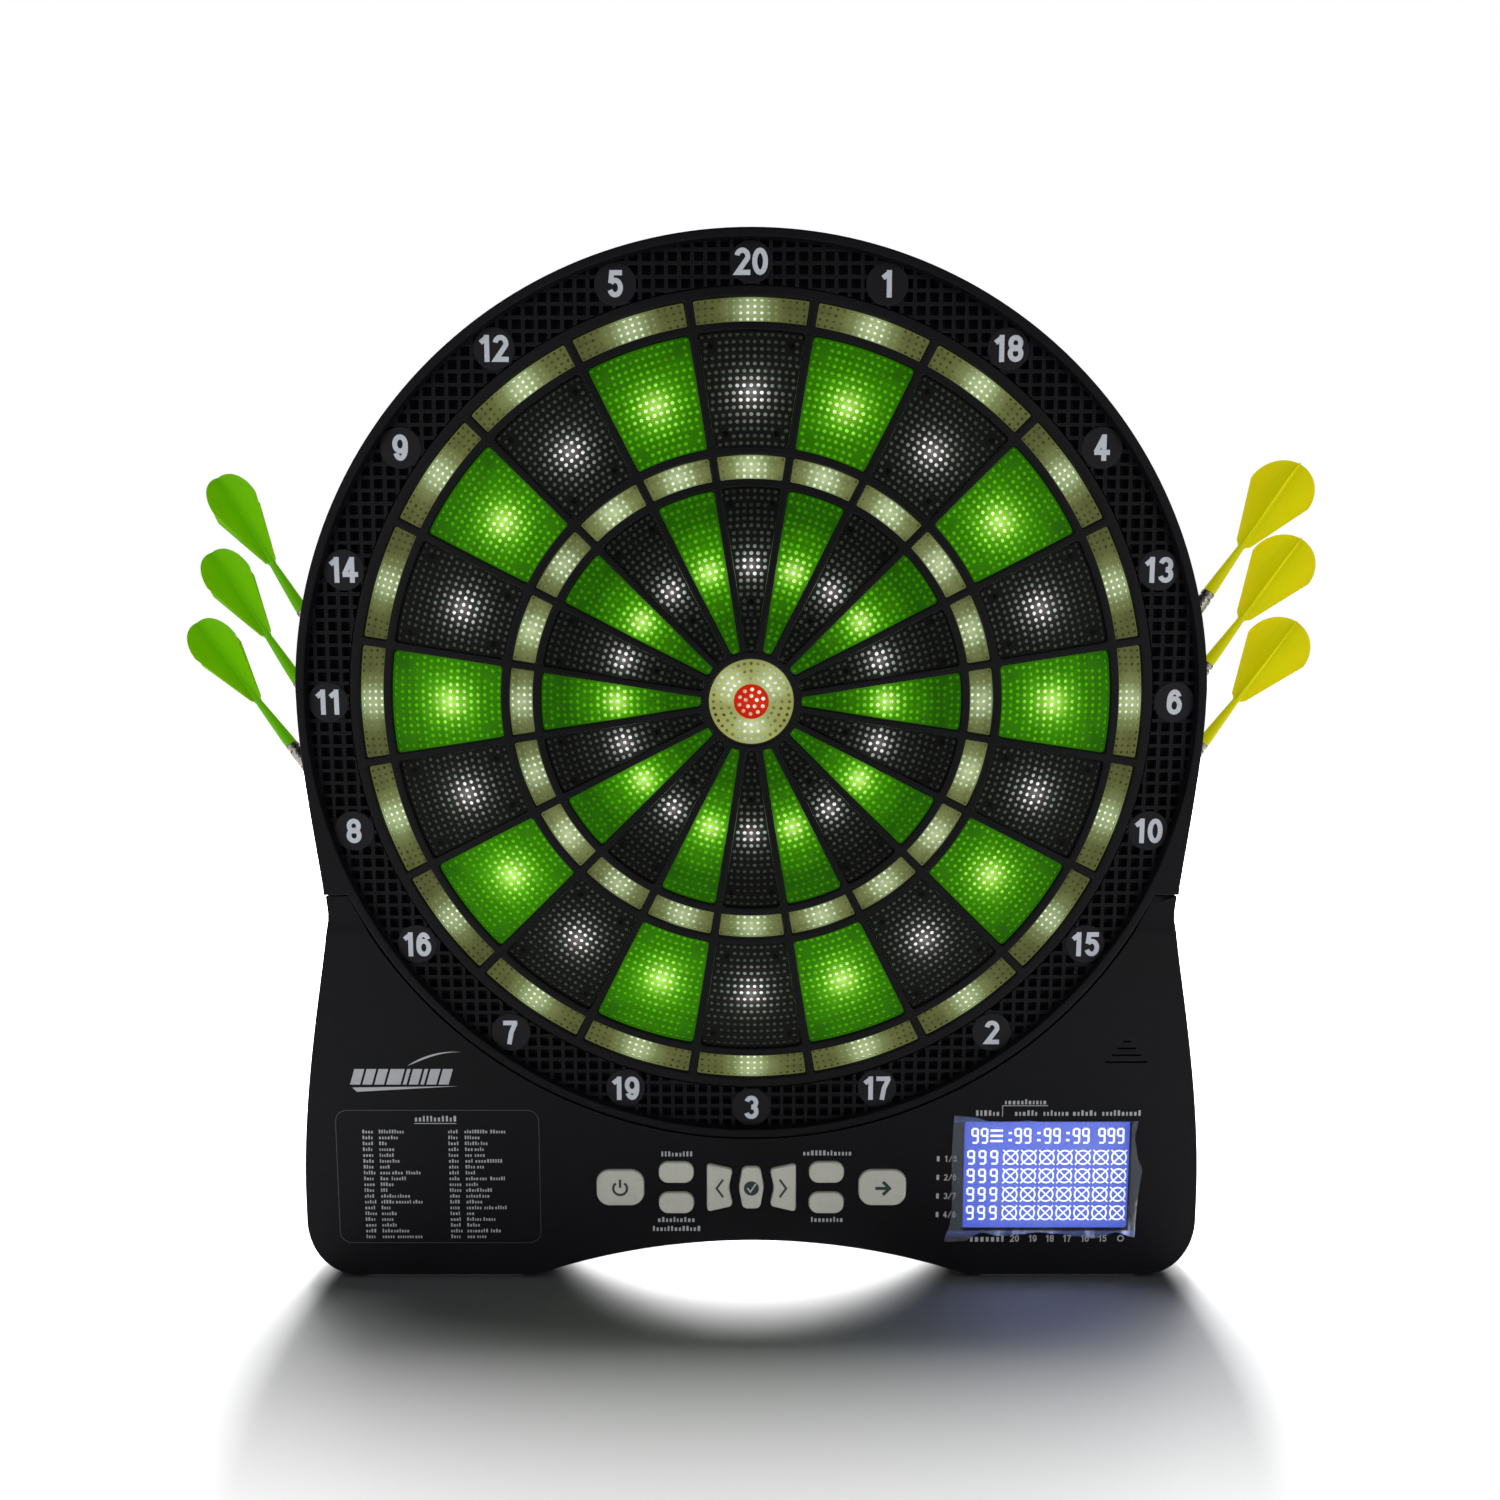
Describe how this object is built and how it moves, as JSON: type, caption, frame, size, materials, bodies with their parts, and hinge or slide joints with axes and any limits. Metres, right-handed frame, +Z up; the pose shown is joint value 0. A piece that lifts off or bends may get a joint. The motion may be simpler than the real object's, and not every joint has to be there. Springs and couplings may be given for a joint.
{
  "type": "electronic dartboard",
  "caption": "Wall-hung electronic dartboard: round lit target with sprung perforated segments in a black frame, lower panel with keys and a blue score display, darts stored at both sides.",
  "frame": {"origin": "on the flat back of the casing, straight behind the bull's-eye", "axes": "+X to the right of a player facing the board, +Y back into the wall, +Z up; the target faces -Y"},
  "size_m": [0.5852, 0.044, 0.5333],
  "materials": {
    "casing": "satin black moulded ABS with a fine spark texture",
    "button": "warm light grey moulded rubber key",
    "rubber": "soft grey rubber",
    "bed_green": "translucent green moulded plastic, lit from behind",
    "bed_black": "black moulded plastic, perforated, lit from behind",
    "bed_cream": "translucent cream moulded plastic, lit from behind",
    "bull_red": "red moulded plastic, perforated",
    "clear": "clear plastic",
    "display": "blue backlit liquid crystal display",
    "board": "green solder mask on fibreglass board",
    "flex": "pale flat flex cable",
    "speaker": "pressed steel speaker frame",
    "dart_green": "bright green moulded plastic",
    "dart_yellow": "bright yellow moulded plastic",
    "nickel": "knurled nickel-plated brass"
  },
  "bodies": {
    "cabinet": {"rear_shell": "casing", "dial_frame": "casing", "control_panel": "casing", "spider": "casing", "foot_pad_left": "rubber", "foot_pad_right": "rubber", "lcd_lens": "clear", "lcd_film": "clear", "lcd_module": "display", "keypad_membrane": "rubber", "main_board": "board", "led_board": "board", "sensor_sheet": "clear", "ribbon_cable": "flex", "speaker": "speaker", "power_socket": "casing"},
    "dart_left_1": {"dart_left_1_flight": "dart_green", "dart_left_1_barrel": "nickel"},
    "dart_left_2": {"dart_left_2_flight": "dart_green", "dart_left_2_barrel": "nickel"},
    "dart_left_3": {"dart_left_3_flight": "dart_green", "dart_left_3_barrel": "nickel"},
    "dart_right_1": {"dart_right_1_flight": "dart_yellow", "dart_right_1_barrel": "nickel"},
    "dart_right_2": {"dart_right_2_flight": "dart_yellow", "dart_right_2_barrel": "nickel"},
    "dart_right_3": {"dart_right_3_flight": "dart_yellow", "dart_right_3_barrel": "nickel"},
    "inner_bull": {"inner_bull": "bull_red"},
    "outer_bull": {"outer_bull": "bed_cream"},
    "button_power": {"button_power": "button"},
    "button_volume": {"button_volume": "button"},
    "button_handicap": {"button_handicap": "button"},
    "button_left": {"button_left": "button"},
    "button_enter": {"button_enter": "button"},
    "button_right": {"button_right": "button"},
    "button_reset": {"button_reset": "button"},
    "button_bounce": {"button_bounce": "button"},
    "button_next": {"button_next": "button"},
    "bed_20": {"bed_20": "bed_black"},
    "bed_01": {"bed_01": "bed_green"},
    "bed_18": {"bed_18": "bed_black"},
    "bed_04": {"bed_04": "bed_green"},
    "bed_13": {"bed_13": "bed_black"},
    "bed_06": {"bed_06": "bed_green"},
    "bed_10": {"bed_10": "bed_black"},
    "bed_15": {"bed_15": "bed_green"},
    "bed_02": {"bed_02": "bed_black"},
    "bed_17": {"bed_17": "bed_green"},
    "bed_03": {"bed_03": "bed_black"},
    "bed_19": {"bed_19": "bed_green"},
    "bed_07": {"bed_07": "bed_black"},
    "bed_16": {"bed_16": "bed_green"},
    "bed_08": {"bed_08": "bed_black"},
    "bed_11": {"bed_11": "bed_green"},
    "bed_14": {"bed_14": "bed_black"},
    "bed_09": {"bed_09": "bed_green"},
    "bed_12": {"bed_12": "bed_black"},
    "bed_05": {"bed_05": "bed_green"}
  },
  "joints": [
    {"name": "dart_left_1_removal", "type": "slide", "parent": "cabinet", "child": "dart_left_1", "axis": [-0.5135, 0, 0.8581], "range_m": [0, 0.06]},
    {"name": "dart_left_2_removal", "type": "slide", "parent": "cabinet", "child": "dart_left_2", "axis": [-0.5314, 0, 0.8471], "range_m": [0, 0.06]},
    {"name": "dart_left_3_removal", "type": "slide", "parent": "cabinet", "child": "dart_left_3", "axis": [-0.585, 0, 0.8111], "range_m": [0, 0.06]},
    {"name": "dart_right_1_removal", "type": "slide", "parent": "cabinet", "child": "dart_right_1", "axis": [0.5592, 0, 0.829], "range_m": [0, 0.06]},
    {"name": "dart_right_2_removal", "type": "slide", "parent": "cabinet", "child": "dart_right_2", "axis": [0.5793, 0, 0.8151], "range_m": [0, 0.06]},
    {"name": "dart_right_3_removal", "type": "slide", "parent": "cabinet", "child": "dart_right_3", "axis": [0.5878, 0, 0.809], "range_m": [0, 0.06]},
    {"name": "inner_bull_press", "type": "slide", "parent": "cabinet", "child": "inner_bull", "axis": [0, 1, 0], "range_m": [0, 0.0012], "stiffness_N_per_m": 80},
    {"name": "outer_bull_press", "type": "slide", "parent": "cabinet", "child": "outer_bull", "axis": [0, 1, 0], "range_m": [0, 0.0012], "stiffness_N_per_m": 80},
    {"name": "button_power_press", "type": "slide", "parent": "cabinet", "child": "button_power", "axis": [0, 1, 0], "range_m": [0, 0.001], "stiffness_N_per_m": 60},
    {"name": "button_volume_press", "type": "slide", "parent": "cabinet", "child": "button_volume", "axis": [0, 1, 0], "range_m": [0, 0.001], "stiffness_N_per_m": 60},
    {"name": "button_handicap_press", "type": "slide", "parent": "cabinet", "child": "button_handicap", "axis": [0, 1, 0], "range_m": [0, 0.001], "stiffness_N_per_m": 60},
    {"name": "button_left_press", "type": "slide", "parent": "cabinet", "child": "button_left", "axis": [0, 1, 0], "range_m": [0, 0.001], "stiffness_N_per_m": 60},
    {"name": "button_enter_press", "type": "slide", "parent": "cabinet", "child": "button_enter", "axis": [0, 1, 0], "range_m": [0, 0.001], "stiffness_N_per_m": 60},
    {"name": "button_right_press", "type": "slide", "parent": "cabinet", "child": "button_right", "axis": [0, 1, 0], "range_m": [0, 0.001], "stiffness_N_per_m": 60},
    {"name": "button_reset_press", "type": "slide", "parent": "cabinet", "child": "button_reset", "axis": [0, 1, 0], "range_m": [0, 0.001], "stiffness_N_per_m": 60},
    {"name": "button_bounce_press", "type": "slide", "parent": "cabinet", "child": "button_bounce", "axis": [0, 1, 0], "range_m": [0, 0.001], "stiffness_N_per_m": 60},
    {"name": "button_next_press", "type": "slide", "parent": "cabinet", "child": "button_next", "axis": [0, 1, 0], "range_m": [0, 0.001], "stiffness_N_per_m": 60},
    {"name": "bed_20_press", "type": "slide", "parent": "cabinet", "child": "bed_20", "axis": [0, 1, 0], "range_m": [0, 0.0012], "stiffness_N_per_m": 150},
    {"name": "bed_01_press", "type": "slide", "parent": "cabinet", "child": "bed_01", "axis": [0, 1, 0], "range_m": [0, 0.0012], "stiffness_N_per_m": 150},
    {"name": "bed_18_press", "type": "slide", "parent": "cabinet", "child": "bed_18", "axis": [0, 1, 0], "range_m": [0, 0.0012], "stiffness_N_per_m": 150},
    {"name": "bed_04_press", "type": "slide", "parent": "cabinet", "child": "bed_04", "axis": [0, 1, 0], "range_m": [0, 0.0012], "stiffness_N_per_m": 150},
    {"name": "bed_13_press", "type": "slide", "parent": "cabinet", "child": "bed_13", "axis": [0, 1, 0], "range_m": [0, 0.0012], "stiffness_N_per_m": 150},
    {"name": "bed_06_press", "type": "slide", "parent": "cabinet", "child": "bed_06", "axis": [0, 1, 0], "range_m": [0, 0.0012], "stiffness_N_per_m": 150},
    {"name": "bed_10_press", "type": "slide", "parent": "cabinet", "child": "bed_10", "axis": [0, 1, 0], "range_m": [0, 0.0012], "stiffness_N_per_m": 150},
    {"name": "bed_15_press", "type": "slide", "parent": "cabinet", "child": "bed_15", "axis": [0, 1, 0], "range_m": [0, 0.0012], "stiffness_N_per_m": 150},
    {"name": "bed_02_press", "type": "slide", "parent": "cabinet", "child": "bed_02", "axis": [0, 1, 0], "range_m": [0, 0.0012], "stiffness_N_per_m": 150},
    {"name": "bed_17_press", "type": "slide", "parent": "cabinet", "child": "bed_17", "axis": [0, 1, 0], "range_m": [0, 0.0012], "stiffness_N_per_m": 150},
    {"name": "bed_03_press", "type": "slide", "parent": "cabinet", "child": "bed_03", "axis": [0, 1, 0], "range_m": [0, 0.0012], "stiffness_N_per_m": 150},
    {"name": "bed_19_press", "type": "slide", "parent": "cabinet", "child": "bed_19", "axis": [0, 1, 0], "range_m": [0, 0.0012], "stiffness_N_per_m": 150},
    {"name": "bed_07_press", "type": "slide", "parent": "cabinet", "child": "bed_07", "axis": [0, 1, 0], "range_m": [0, 0.0012], "stiffness_N_per_m": 150},
    {"name": "bed_16_press", "type": "slide", "parent": "cabinet", "child": "bed_16", "axis": [0, 1, 0], "range_m": [0, 0.0012], "stiffness_N_per_m": 150},
    {"name": "bed_08_press", "type": "slide", "parent": "cabinet", "child": "bed_08", "axis": [0, 1, 0], "range_m": [0, 0.0012], "stiffness_N_per_m": 150},
    {"name": "bed_11_press", "type": "slide", "parent": "cabinet", "child": "bed_11", "axis": [0, 1, 0], "range_m": [0, 0.0012], "stiffness_N_per_m": 150},
    {"name": "bed_14_press", "type": "slide", "parent": "cabinet", "child": "bed_14", "axis": [0, 1, 0], "range_m": [0, 0.0012], "stiffness_N_per_m": 150},
    {"name": "bed_09_press", "type": "slide", "parent": "cabinet", "child": "bed_09", "axis": [0, 1, 0], "range_m": [0, 0.0012], "stiffness_N_per_m": 150},
    {"name": "bed_12_press", "type": "slide", "parent": "cabinet", "child": "bed_12", "axis": [0, 1, 0], "range_m": [0, 0.0012], "stiffness_N_per_m": 150},
    {"name": "bed_05_press", "type": "slide", "parent": "cabinet", "child": "bed_05", "axis": [0, 1, 0], "range_m": [0, 0.0012], "stiffness_N_per_m": 150}
  ]
}
